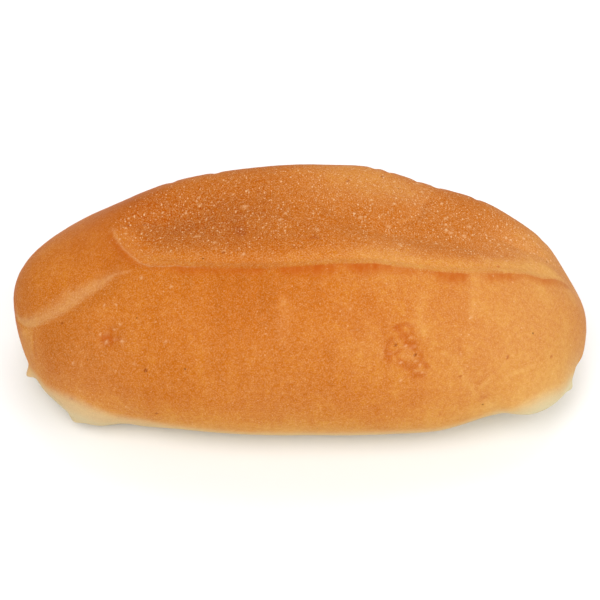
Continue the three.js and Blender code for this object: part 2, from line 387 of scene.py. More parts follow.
@dataclass
class Crease:
    """A crease in the skin, bent between three places, deeper and wider as it is told."""

    body: RollBody
    places: tuple
    depths: tuple
    widths: tuple
    steps: int = 24

    def nearest(self, x: np.ndarray, turn: np.ndarray) -> tuple:
        """Find the nearest point of the crease to each place.

        Args:
            x: the x of each place.
            turn: its turn.

        Returns:
            The distance to the crease, the side of it (from 1 towards -X to -1, between them
            round its ends) and the share of the way along it.
        """
        scale = float(self.body.skin_per_degree((self.places[0][0] + self.places[2][0]) / 2))
        start, bend, end = (np.array([place[0], place[1] * scale]) for place in self.places)
        share = np.linspace(0, 1, self.steps + 1)[:, None]
        line = (1 - share) ** 2 * start + 2 * share * (1 - share) * bend + share**2 * end
        place = np.stack([x, turn * scale], axis=-1)
        distance = np.full(x.shape, np.inf)
        side = np.zeros(x.shape)
        along = np.zeros(x.shape)
        for k in range(self.steps):
            run = line[k + 1] - line[k]
            offset = place - line[k]
            step = np.clip(offset @ run / (run @ run), 0, 1)
            away = np.linalg.norm(offset - step[..., None] * run, axis=-1)
            closer = away < distance
            distance = np.where(closer, away, distance)
            lean = run[0] * offset[..., 1] - run[1] * offset[..., 0]
            lean = lean / (math.hypot(*run) * np.maximum(away, 1e-9))
            side = np.where(closer, lean, side)
            along = np.where(closer, (k + step) / self.steps, along)
        return distance, side, along

    def relief(self, x: np.ndarray, turn: np.ndarray) -> np.ndarray:
        """Return the level of the crease against the skin beside it.

        Args:
            x: the x of each place.
            turn: its turn.

        Returns:
            One height for each place, zero or below.
        """
        distance, side, along = self.nearest(x, turn)
        depth = lerp(*self.depths, smoothstep(along, 0.5, 1)) * smoothstep(along, 0, 0.3)
        width = lerp(*reversed(self.widths), smoothstep(side, -1, 1))
        return -depth * np.exp(-((distance / width) ** 2))


@dataclass(frozen=True)
class Swelling:
    """A round swelling of the skin; one with a height below zero is a hollow."""

    x: float
    turn: float
    radius: float
    height: float

    def share(self, body: RollBody, points: np.ndarray) -> np.ndarray:
        """Say how much of the swelling each place has.

        Args:
            body: the smooth body that it swells from.
            points: the places on it.

        Returns:
            1 at the middle of the swelling, falling to 0 round it.
        """
        middle = body.places(np.array(self.x, float), np.array(self.turn, float))
        distance = np.linalg.norm(points - middle, axis=-1) / self.radius
        return np.exp(-(distance**2))


@dataclass(frozen=True)
class Look:
    """How a mark differs from the crust round it.

    Its lift is millimetres. The others say how much darker, paler and redder it is, how much it
    has of a blister's colour, and how much calmer its grain is.
    """

    lift: float = 0.0
    darker: float = 0.0
    paler: float = 0.0
    redder: float = 0.0
    bubbly: float = 0.0
    calm: float = 0.0


class MarkKind(Enum):
    """The kinds of small marks that baking left on the crust."""

    BUBBLE = Look(lift=0.12, darker=-0.1, bubbly=0.6)
    FAINT_BUBBLE = Look(lift=0.1, darker=-0.08, bubbly=0.16)
    RED_SPOT = Look(lift=-0.1, darker=0.1, redder=0.6)
    BROWN_LINE = Look(lift=-0.1, darker=0.16, redder=0.4)
    DARK_PORE = Look(lift=-0.14, darker=1)
    DULL_SPOT = Look(lift=-0.05, darker=0.14)
    PALE_WRINKLE = Look(lift=0.06, darker=-0.08, bubbly=0.03)
    # painted shade along a crease, over a slight groove
    SHADE = Look(lift=-0.08, darker=0.12)
    LIGHT_STREAK = Look(darker=-0.1, bubbly=0.04)
    RED_STREAK = Look(darker=0.06, redder=0.07)
    CREST = Look(lift=0.2, darker=-0.12, bubbly=0.05)
    NICK = Look(lift=-0.28, darker=0.1)


@dataclass(frozen=True)
class Marks:
    """Marks of one look and width: spots, and lines through several places on the skin.

    A place is a pair of x and turn.
    """

    look: Look
    width: float
    spots: tuple = ()
    lines: tuple = ()

    def share(self, body: RollBody, points: np.ndarray) -> np.ndarray:
        """Say how much of the marks each place has.

        Args:
            body: the smooth body that the marks lie on.
            points: the places on it.

        Returns:
            1 along the middle of a mark, falling to 0 beside it.
        """
        share = np.zeros(len(points))
        for places in (*self.lines, *((spot,) for spot in self.spots)):
            line = body.places(*np.array(places, float).T)
            low, high = line.min(axis=0) - 4 * self.width, line.max(axis=0) + 4 * self.width
            close = np.flatnonzero(((points > low) & (points < high)).all(axis=1))
            distance = np.full(len(close), np.inf)
            for start, end in zip(line, line[1:] if len(line) > 1 else line):
                run, offset = end - start, points[close] - start
                step = np.clip(offset @ run / max(run @ run, 1e-9), 0, 1)
                away = np.linalg.norm(offset - step[:, None] * run, axis=1)
                distance = np.minimum(distance, away)
            share[close] = np.maximum(share[close], np.exp(-((distance / self.width) ** 2)))
        return share


@dataclass
class Blisters:
    """The larger blisters of the opened slash, scattered at true size."""

    count: int = 70
    radii: tuple = (0.5, 0.75)
    height_share: float = 0.22
    seed: int = 11
    least_into: float = 3.0

    def lifts(self, points: np.ndarray, into: np.ndarray) -> np.ndarray:
        """Lift the skin where the blisters are.

        Args:
            points: the finished places of the skin.
            into: how far it is inside the lips.

        Returns:
            The lift of each place in millimetres.
        """
        chance = np.random.default_rng(self.seed)
        inside = np.flatnonzero(into > self.least_into)
        tree = kdtree.KDTree(len(inside))
        for index in inside:
            tree.insert(Vector(points[index]), int(index))
        tree.balance()
        lifts = np.zeros(len(points))
        for middle in chance.choice(inside, self.count, replace=False):
            radius = lerp(*self.radii, chance.random() ** 2)
            for _, index, distance in tree.find_range(Vector(points[middle]), radius):
                dome = (1 - (distance / radius) ** 2) ** 1.5
                lifts[index] = max(lifts[index], self.height_share * radius * dome)
        return lifts


@dataclass
class BreadRoll:
    """The roll itself: one closed skin with its marks, and what its crust needs to know."""

    body: RollBody = field(default_factory=RollBody)
    around: tuple = (8, 126, 124, 54, 8)
    stations: int = 306
    even_stations: float = 0.4
    least_opening: float = 0.34
    base_turn: float = 150
    marks_from_level: float = 6
    swell: Waves = Waves(0.45, 46, 1)
    ripple: Waves = Waves(0.16, 15, 3)
    foot_wave: Waves = Waves(0.5, 11, 7)
    fine_grain: Grain = Grain(0.035, 2.4)
    foot_spread: float = 1.5
    foot_height: float = 2.6
    foot_evenness: float = 0.7
    foot_along: tuple = (0.45, 0.85)
    foot_outward: tuple = (0.5, 0.8)
    pale_edge_x: tuple = (
        -75, -69, -65.4, -61.4, -58.6, -54.9, -50.6, -47.9, -43.6, -37.4, -31, -13, 0, 13, 26,
        36, 41, 46.4, 50.4, 53.6, 56.4, 59.9, 63.6, 67.4, 69.4, 72, 75,
    )
    pale_edge_z: tuple = (
        9, 13.5, 13.8, 15.8, 16.4, 15.9, 14.2, 12.6, 11.7, 11.3, 11.1, 10.8, 10.3, 11.1, 11.2,
        10.9, 11.4, 12.6, 14.4, 15.8, 17.7, 18.2, 17.5, 16, 15.4, 12, 8,
    )
    swellings: tuple = (
        Swelling(-55.5, 129, 15, 3),  # the lobe at the left end
        Swelling(59.5, 96, 15, 1.75),  # the lobe at the right end
        Swelling(26, 56, 6, -0.5),  # under the blistered patch
        Swelling(-48, 48, 3, -0.5),  # the small dimple
        # Along the back of the top, from left to right.
        Swelling(-72, -10, 12, 1.25), Swelling(-62, -50, 9, -0.6), Swelling(-48, -54, 9, -0.6),
        Swelling(-8, -53, 9, -0.35), Swelling(18, -54, 8, 0.9), Swelling(35, -53, 8, -0.8),
        Swelling(50, -52, 8, 0.6), Swelling(62, -46, 9, 0.6), Swelling(70, -30, 8, -1.2),
        Swelling(73, 15, 12, 1.25),
        # Low on the front, from left to right.
        Swelling(-73, 55, 14, -1.5), Swelling(-56, 112, 9, 0.6), Swelling(-45, 112, 9, -1.1),
        Swelling(-20, 110, 12, 0.35), Swelling(37, 112, 9, 0.55), Swelling(50, 112, 8, 0.45),
        Swelling(60, 116, 9, 0.4), Swelling(68, 108, 10, 1.3), Swelling(72.5, 72, 12, -1.9),
        # The torn crumb of the foot.
        Swelling(-69.8, 127, 1.3, 1.9), Swelling(-61.6, 124, 2.8, -1.6),
        Swelling(-57.2, 127, 1.8, 0.9), Swelling(-46, 129, 4.5, -1), Swelling(72.8, 103, 2.4, -1.5),
        Swelling(71.2, 108, 2, -1.9), Swelling(69.4, 110, 1.3, 0.9),
    )
    seam_red_x: tuple = (
        -48, -40, -34, -30, -26, -23, -21, -10, -8, -6, -4, 2, 4, 8, 10, 12, 15, 18.5, 20, 27,
        29.5, 33, 34.5, 41, 43, 46, 48, 54, 57, 61, 69, 72,
    )
    seam_red: tuple = (
        0.2, 0.35, 0.4, 0.75, 0.8, 0.45, 0.6, 0.6, 0.15, 0.15, 0.85, 0.85, 1.15, 1.1, 0.65, 0.6,
        1.1, 1.05, 0.75, 0.75, 0.25, 0.25, 0.95, 0.95, 0.2, 0.2, 0.75, 0.7, 0.35, 0.6, 0.5, 0,
    )
    back_brown_x: tuple = (-60, -48, -36, -30, -24, -12, 0, 12, 24, 36, 48, 60, 72)
    back_brown_turn: tuple = (
        -54, -49, -44, -44.5, -48, -47.5, -50, -51.5, -52, -50.5, -49.5, -47.5, -50,
    )
    back_lowest_turn: float = -130
    far_opened: float = 4
    far_opened_turns: tuple = (20, 40)
    far_opened_x: tuple = (-36, -22)
    # where a painted highlight runs along the edge of the near lip, at the left of the seam
    seam_highlight_starts: tuple = (-43, -39)
    seam_highlight_ends: tuple = (-27, -23)
    near_side_turns: float = 8
    marks: tuple = (
        # the blistered patch: its torn bubble, red spots and brown lines
        Marks(MarkKind.BROWN_LINE.value, 0.5, lines=(((24.1, 44), (25.1, 43), (26.6, 42.5),
            (27.9, 43.8), (28.1, 46.5)), ((30.4, 55.2), (30.4, 60.2)), ((22.9, 49.2), (21.9, 52),
            (21.4, 54.8), (21.6, 58), (22.4, 60)), ((24.9, 54.8), (24.1, 56.2)))),
        Marks(MarkKind.BROWN_LINE.value, 0.9, lines=(((25.1, 60), (26.4, 62.2), (27.9, 63.2),
            (28.9, 62)), ((28.6, 66.8), (30.4, 67.2)))),
        Marks(MarkKind.RED_SPOT.value, 0.5, lines=(((24.1, 44), (24.4, 45.5), (25.4, 45)),
            ((26.4, 50.2), (26.4, 51.5)), ((27.9, 53), (29.1, 54)), ((22.4, 55.5), (22.6, 57.8)),
            ((31.4, 61), (32.1, 62.8)))),
        Marks(MarkKind.RED_SPOT.value, 0.85, lines=(((25.4, 48), (26.1, 47), (26.6, 48)),
            ((27.6, 51), (28.4, 51)))),
        # the blistered patch: its pale bubbles and rims
        Marks(MarkKind.BUBBLE.value, 0.27, spots=((26.4, 52.2), (28.6, 52.5), (27.9, 48.5),
            (27.9, 53.2), (29.1, 59.8), (22.4, 56.2), (26.1, 57), (28.1, 58), (30.1, 62),
            (25.1, 60.5), (25.1, 70), (30.9, 65.8))),
        Marks(MarkKind.FAINT_BUBBLE.value, 0.3, lines=(((20.6, 53.5), (20.4, 55.8), (20.4, 58.5)),
            ((28.9, 65), (29.9, 64.5)))),
        Marks(MarkKind.PALE_WRINKLE.value, 1.1, spots=((26.9, 44.5), (27.6, 41.5), (23.6, 77),
            (31.1, 46.2), (33.1, 50.5)), lines=(((26.1, 57.5), (27.6, 56.8)),)),
        # the small dimple, between pale bubbles
        Marks(MarkKind.RED_SPOT.value, 0.65, lines=(((-49.9, 49.2), (-48.4, 49.5)),)),
        Marks(MarkKind.BROWN_LINE.value, 0.45, spots=((-47.9, 45),), lines=(((-50.1, 51.2),
            (-49.1, 53.2), (-47.9, 53), (-47.4, 50.8)), ((-46.6, 50.5), (-45.6, 49.5)))),
        Marks(MarkKind.FAINT_BUBBLE.value, 0.5, spots=((-49.1, 47.5), (-50.6, 55), (-55.6, 69.5))),
        Marks(MarkKind.BUBBLE.value, 0.42, spots=((-44.9, 51), (-49.1, 52))),
        # pale dots on the front skin
        Marks(MarkKind.BUBBLE.value, 0.3, spots=((-46.9, 50.2), (-46.9, 44.8), (-50.6, 47.8),
            (-49.6, 31.8), (-46.6, 32), (-57.6, 70), (-45.4, 42.2), (-40.1, 19.8), (12.6, 37.5),
            (42.9, 37), (-32.6, 25.5), (-33.6, 51), (-41.9, 63.8), (-44.1, 99.2))),
        # dark pores and dull spots
        Marks(MarkKind.DARK_PORE.value, 0.28, spots=((-60.9, 41.5), (40.4, 68.2), (63.6, 57.5),
            (52.1, 56.5), (-57.9, 101.5), (-36.6, 100.8), (23.9, 52), (28.9, 56.5), (-44.6, -14.2),
            (-40.6, -14.8), (12.4, -35), (21.4, -41.5), (-19.4, 11.2))),
        Marks(Look(lift=-0.15, darker=2), 0.3, spots=((-38.9, 67.2),)),
        Marks(MarkKind.DULL_SPOT.value, 0.5, spots=((-36.9, 35.5), (53.6, -5), (40, 53.2),
            (43.9, 2.2)), lines=(((46.1, 82.5), (47.1, 83)), ((35.6, 92.2), (35.4, 96)),
            ((-1.9, 10), (-0.9, 9.8), (0.4, 11)))),
        # the stretched skin of the left tip: pale wrinkles, with painted shade along the creases
        # beside them
        Marks(MarkKind.PALE_WRINKLE.value, 0.7, lines=(((-69.6, 55.5), (-69.9, 75), (-69.1, 92)),
            ((-73.9, 24.2), (-73.9, 49.8), (-72.9, 71.8)), ((-72.9, 74.5), (-70.4, 55.5)))),
        Marks(MarkKind.SHADE.value, 0.5, lines=(((-68.9, 51.8), (-68.9, 70.8), (-67.9, 86.8)),
            ((-70.4, 39.8), (-72.4, 49)))),
        # large blisters of the opened slash
        Marks(MarkKind.BUBBLE.value, 0.6, spots=((-14.6, -17.5),)),
        Marks(MarkKind.BUBBLE.value, 0.42, spots=((-3.9, -11), (-5.4, -6.8), (-26.4, -21.5),
            (-26.9, -1), (4.4, -0.2), (-21.9, 4.8), (15.6, -10.5), (23.1, -7.2), (38.4, -12.2),
            (39.6, -11.2), (38.4, -20.8), (44.4, -19), (42.9, -11.5))),
        Marks(MarkKind.BUBBLE.value, 0.25, spots=((-21.6, 9), (-19.4, 10.2))),
        # round the blunt corner: its pale torn edge, and a thin pale line beyond it
        Marks(MarkKind.FAINT_BUBBLE.value, 0.35, lines=(((-48.1, -13), (-46.9, -5), (-45.4, 1.2),
            (-43.1, 7.2), (-40.6, 12)), ((-50.1, 16.8), (-46.6, 15), (-42.9, 16)), ((-40.9, -15.8),
            (-40.1, -12)))),
        Marks(Look(darker=0.05, redder=0.2), 0.9, lines=(((-48, -5), (-46.5, 1.5), (-44.3, 8.2),
            (-41.8, 13)),)),
        # red and dark spots of the opened slash
        Marks(Look(lift=-0.1, darker=0.3, redder=0.25), 1, lines=(((-15.9, -3.5), (-15.1, 0.5)),)),
        Marks(Look(lift=-0.06, darker=0.3, redder=0.35), 0.45, spots=((50.6, 6.8),),
            lines=(((2.6, 5), (3.6, 4), (4.4, 5)),)),
        # the fold of the lobe: a pale crest and the shade beside it
        Marks(MarkKind.CREST.value, 0.5, lines=(((33.6, -33.2), (32.1, -28.5), (31.6, -25),
            (31.6, -20.5), (29.9, -16), (27.4, -13.8), (25.9, -11.5)),)),
        Marks(MarkKind.SHADE.value, 1.3, lines=(((34.4, -31.2), (32.9, -27), (32.6, -21.8),
            (31.1, -16.5), (28.9, -12.5)),)),
        # the pale wrinkles of the right front
        Marks(MarkKind.PALE_WRINKLE.value, 0.8, lines=(((36.1, 54.8), (38.6, 58.2), (40.4, 63.8),
            (41.4, 69.2), (44.4, 79.5), (48.6, 90.5)),)),
        Marks(MarkKind.LIGHT_STREAK.value, 0.6, lines=(((58.6, 62.5), (52.4, 66.5)), ((47.6, 69.5),
            (45.6, 75.8)))),
        # light and red streaks below the near lip
        Marks(MarkKind.LIGHT_STREAK.value, 1.6, lines=(((30.6, 30), (30.1, 37), (30.4, 44.8)),
            ((44.1, 17), (43.9, 25), (43.4, 34.8)), ((-4.1, 34.2), (-4.6, 51)))),
        Marks(MarkKind.RED_STREAK.value, 2.4, lines=(((16.6, 33.2), (18.9, 39.5), (20.9, 45.8)),
            ((11.1, 38), (14.1, 46.2)), ((2.6, 27), (4.6, 32.5)))),
        # nicks along the back of the top
        Marks(MarkKind.NICK.value, 1.0, lines=(((-33.7, -56), (-33.7, -47)), ((-22.2, -56),
            (-22.2, -48)), ((19.4, -59), (19.4, -51)), ((23.1, -59), (23.1, -51)), ((30.7, -58),
            (30.7, -50)), ((35.9, -58), (35.9, -50)), ((46.1, -57), (46.1, -48)), ((63.1, -55),
            (63.1, -45)))),
    )
    tones: tuple = (
        # the right end, lightly baked, and low on the right of the front
        Marks(Look(darker=-0.16, paler=0.1, calm=0.2), 32, ((62, 42),)),
        Marks(Look(darker=-0.1, paler=0.02, calm=0.1), 18, ((42, 84),)),
        # the pointed end of the slash, the top of the far side and the lobe there
        Marks(Look(darker=-0.14, paler=0.06), 14, ((64, -25),)),
        Marks(Look(darker=-0.24, paler=0.05), 14, ((14, -40),)),
        Marks(Look(darker=-0.1, paler=0.05), 8, ((28, -32),)),
        # inside the near lip, painted light against the shade beside its step; the bottom of the
        # valley and the back of the top on the left
        Marks(Look(darker=-0.12, paler=0.05), 9, ((22, 12),)),
        Marks(Look(darker=0.15), 15, ((-24, -12),)),
        Marks(Look(darker=-0.08), 8, ((-26, -42),)),
        # inside the blunt corner, the far shoulder and round the corner
        Marks(Look(darker=0.03), 7, ((-40, -3),)),
        Marks(Look(darker=0.18, redder=0.26), 10, ((-42, -33),)),
        Marks(Look(redder=0.25), 6, ((-46, 6),)),
        # under the near lip, and the left end: its top, low on it, and its stretched tip
        Marks(Look(darker=0.1, redder=0.15), 13, ((-14, 28),)),
        Marks(Look(redder=0.28), 10, ((-54, -16),)),
        Marks(Look(darker=0.12, redder=0.05), 12, ((-61, 78),)),
        Marks(Look(paler=0.05), 14, ((-55, 78),)),
        Marks(Look(darker=-0.2, paler=0.05), 6, ((-71, 72),)),
        # low on the front, and the crumb of the right foot
        Marks(Look(darker=-0.12), 14, ((2, 112), (-26, 110))),
        Marks(Look(darker=-0.02, paler=0.03), 24, ((-5, 90),)),
        Marks(Look(paler=0.38), 6.5, ((61, 118), (69.5, 110))),
        # the blistered patch, beside it, the small dimple and a dull spot by the side crease
        Marks(Look(darker=0.04), 4.5, ((27, 52),)),
        Marks(Look(darker=-0.08, paler=0.02), 7, ((15.5, 52),)),
        Marks(Look(darker=0.12, redder=0.3), 2.2, ((-48, 49),)),
        Marks(Look(darker=0.14), 1.6, ((46.4, 84),)),
    )
    slash: Slash = field(init=False)
    end_crease: Crease = field(init=False)
    side_crease: Crease = field(init=False)
    lobe_fold: Crease = field(init=False)

    def __post_init__(self) -> None:
        """Lay the slash and the creases on the body."""
        self.slash = Slash(self.body)
        self.end_crease = Crease(self.body, ((-43, 13), (-57, 22), (-72, 52)), (0.95, 0.3), (6, 2.8))
        self.side_crease = Crease(self.body, ((28, 46), (44, 58), (54, 128)), (1.1, 3), (11, 5))
        self.lobe_fold = Crease(self.body, ((38, -36), (29, -14), (21, 3)), (1.1, 0.2), (2.5, 8))

    def row_turn(self, row: np.ndarray, x: np.ndarray) -> np.ndarray:
        """Return the turn of each row of the net, so that rows run along both lips.

        Args:
            row: the number of the row, counted round from under the base.
            x: the x of each place.

        Returns:
            The turn of each place.
        """
        near = self.slash.near_lip(x, self.least_opening)
        far = self.slash.far_lip(x, self.least_opening)
        flat = np.ones_like(x)
        stops = [180 * flat, self.base_turn * flat, near, far, -self.base_turn * flat, -180 * flat]
        edges = np.cumsum((0, *self.around))
        turn = np.zeros_like(x)
        for band, count in enumerate(self.around):
            share = (row - edges[band]) / count
            here = (share >= 0) & (share <= 1)
            turn = np.where(here, lerp(stops[band], stops[band + 1], share), turn)
        return turn

    def spread_foot(self, points: np.ndarray, x: np.ndarray) -> np.ndarray:
        """Spread the thin foot of the roll on the tray at its ends.

        Args:
            points: the places of the skin.
            x: the x of each place.

        Returns:
            The places with the foot spread.
        """
        plan = np.stack([x / self.body.half, points[:, 1] / (self.body.width / 2)], axis=-1)
        length = np.linalg.norm(plan, axis=-1)
        along = smoothstep(np.abs(plan[:, 0]), *self.foot_along)
        rim = smoothstep(length, *self.foot_outward)
        low = np.exp(-((points[:, 2] / self.foot_height) ** 2))
        ragged = self.foot_evenness + self.foot_wave.at(points)
        spread = self.foot_spread * along * rim * ragged * low
        direction = plan / np.maximum(length, 1e-9)[:, None]
        points[:, :2] += direction * spread[:, None]
        points[:, 2] = np.maximum(points[:, 2], 0)
        return points

    def skin(self, x: np.ndarray, turn: np.ndarray) -> tuple[np.ndarray, dict]:
        """Make the finished skin.

        Args:
            x: the x of each place.
            turn: its turn.

        Returns:
            The places of the skin in millimetres, and what the crust reads at each of them.
        """
        smooth = self.body.places(x, turn)
        into = self.slash.depth_into(x, turn)
        valley = self.slash.valley_share(x, turn, into)
        relief = self.swell.at(smooth) + self.ripple.at(smooth) + self.fine_grain.at(smooth)
        relief += self.slash.relief(smooth, x, turn, into, valley)
        for crease in (self.end_crease, self.side_crease, self.lobe_fold):
            relief += crease.relief(x, turn)
        for swelling in self.swellings:
            relief += swelling.height * swelling.share(self.body, smooth)
        blisters = Blisters().lifts(smooth, into)
        relief += blisters
        baked = dict.fromkeys(("darker", "paler", "redder", "bubbly", "calm"), 0)
        for marks in (*self.tones, *self.marks):
            share = marks.share(self.body, smooth)
            relief += marks.look.lift * share
            for name in baked:
                baked[name] = baked[name] + getattr(marks.look, name) * share
        tip = smoothstep(self.body.tip_share(x), 0.98, 1)[:, None]
        axis = np.stack([np.sign(x), 0 * x, 0 * x], axis=-1)
        direction = lerp(self.body.outward(x, turn), axis, tip)
        direction[:, 2] *= smoothstep(smooth[:, 2], 0, self.marks_from_level)
        points = self.spread_foot(smooth + direction * relief[:, None], x)
        notes = self.notes(x, turn, points[:, 2], into)
        return points, {**notes, **baked, "valley": valley, "blister": blisters}

    def notes(
        self, x: np.ndarray, turn: np.ndarray, level: np.ndarray, into: np.ndarray
    ) -> dict[str, np.ndarray]:
        """Gather what the crust reads at each place.

        Args:
            x: the x of each place.
            turn: its turn.
            level: how high it lies.
            into: how far it is inside the lips.

        Returns:
            Arrays of numbers by the name of the mesh attribute.
        """
        band, side, along = self.end_crease.nearest(x, turn)
        far = smoothstep(-turn, *self.far_opened_turns) * smoothstep(x, *self.far_opened_x)
        brown = np.interp(x, self.back_brown_x, self.back_brown_turn)
        back = np.minimum(brown - turn, turn - self.back_lowest_turn)
        # the left stretch of the near lip, which carries a painted highlight along its edge
        line = smoothstep(x, *self.seam_highlight_starts) * (1 - smoothstep(x, *self.seam_highlight_ends))
        return {
            "into_slash": into + self.far_opened * far,
            "near_side": np.clip((turn - self.slash.turn) / self.near_side_turns, -1, 1),
            "above_pale": level - np.interp(x, self.pale_edge_x, self.pale_edge_z),
            "end_band": band * side,
            "end_along": along,
            "seam_red": np.interp(x, self.seam_red_x, self.seam_red),
            "seam_highlight": line,
            "over_back": back * self.body.skin_per_degree(x),
        }

    def build(self) -> bpy.types.Object:
        """Make the roll's mesh object, in metres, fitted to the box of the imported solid.

        Returns:
            The new object, not yet dressed.
        """
        rows = sum(self.around)
        shell = bmesh.new()
        bmesh.ops.create_uvsphere(shell, u_segments=rows, v_segments=self.stations, radius=1)
        ball = np.array([vert.co for vert in shell.verts])
        station = np.round((1 - np.arccos(np.clip(ball[:, 2], -1, 1)) / math.pi) * self.stations)
        share = station / self.stations
        x = self.body.half * lerp(-np.cos(math.pi * share), 2 * share - 1, self.even_stations)
        row = np.round(-np.arctan2(ball[:, 1], ball[:, 0]) / (2 * math.pi) * rows) % rows
        row[(station == 0) | (station == self.stations)] = 0
        points, notes = self.skin(x, self.row_turn(row, x))
        points = self.fit(points * METRE)
        for vert, point in zip(shell.verts, points):
            vert.co = point
        bmesh.ops.recalc_face_normals(shell, faces=shell.faces)
        mesh = bpy.data.meshes.new("bread_roll")
        shell.to_mesh(mesh)
        shell.free()
        mesh.shade_smooth()
        for name, values in notes.items():
            layer = mesh.attributes.new(name, "FLOAT", "POINT")
            layer.data.foreach_set("value", values.astype(np.float32))
        roll = bpy.data.objects.new("bread_roll", mesh)
        bpy.context.collection.objects.link(roll)
        return roll

    def fit(self, points: np.ndarray) -> np.ndarray:
        """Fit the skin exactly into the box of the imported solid.

        Args:
            points: the places of the skin in metres.

        Returns:
            The places, moved and scaled by a hair to fill the box.
        """
        low, high = (np.array(corner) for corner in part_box("roll"))
        first, last = points.min(axis=0), points.max(axis=0)
        scale = (high - low) / (last - first)
        log.info("the skin is scaled by %s to fit the packed box", np.round(scale, 4))
        return low + (points - first) * scale


@dataclass(frozen=True)
class Wire:
    """A value that a node gives, with which sums of nodes can be written."""

    desk: "NodeDesk"
    socket: bpy.types.NodeSocket

    def __add__(self, other: "Wire | float") -> "Wire":
        """Return the sum of both."""
        return self.desk.math("ADD", self, other)

    def __sub__(self, other: "Wire | float") -> "Wire":
        """Return this less the other."""
        return self.desk.math("SUBTRACT", self, other)

    def __rsub__(self, other: float) -> "Wire":
        """Return a number less this."""
        return self.desk.math("SUBTRACT", other, self)

    def __mul__(self, other: "Wire | float") -> "Wire":
        """Return the product of both."""
        return self.desk.math("MULTIPLY", self, other)

    def __truediv__(self, other: "Wire | float") -> "Wire":
        """Return this divided by the other."""
        return self.desk.math("DIVIDE", self, other)

    def at_least(self, other: "Wire | float") -> "Wire":
        """Return the larger of both."""
        return self.desk.math("MAXIMUM", self, other)


@dataclass(frozen=True)
class Cloud:
    """Cloudy noise: its size in millimetres, its finer layers, their strength and a twist."""

    size: float
    detail: float = 2
    rough: float = 0.5
    twist: float = 0


@dataclass(frozen=True)
class Specks:
    """Round specks, one at most in each cell of their spacing in millimetres.

    Their largest radius is a share of the spacing, and a share of the cells has one.
    """

    spacing: float
    radius: float
    share: float


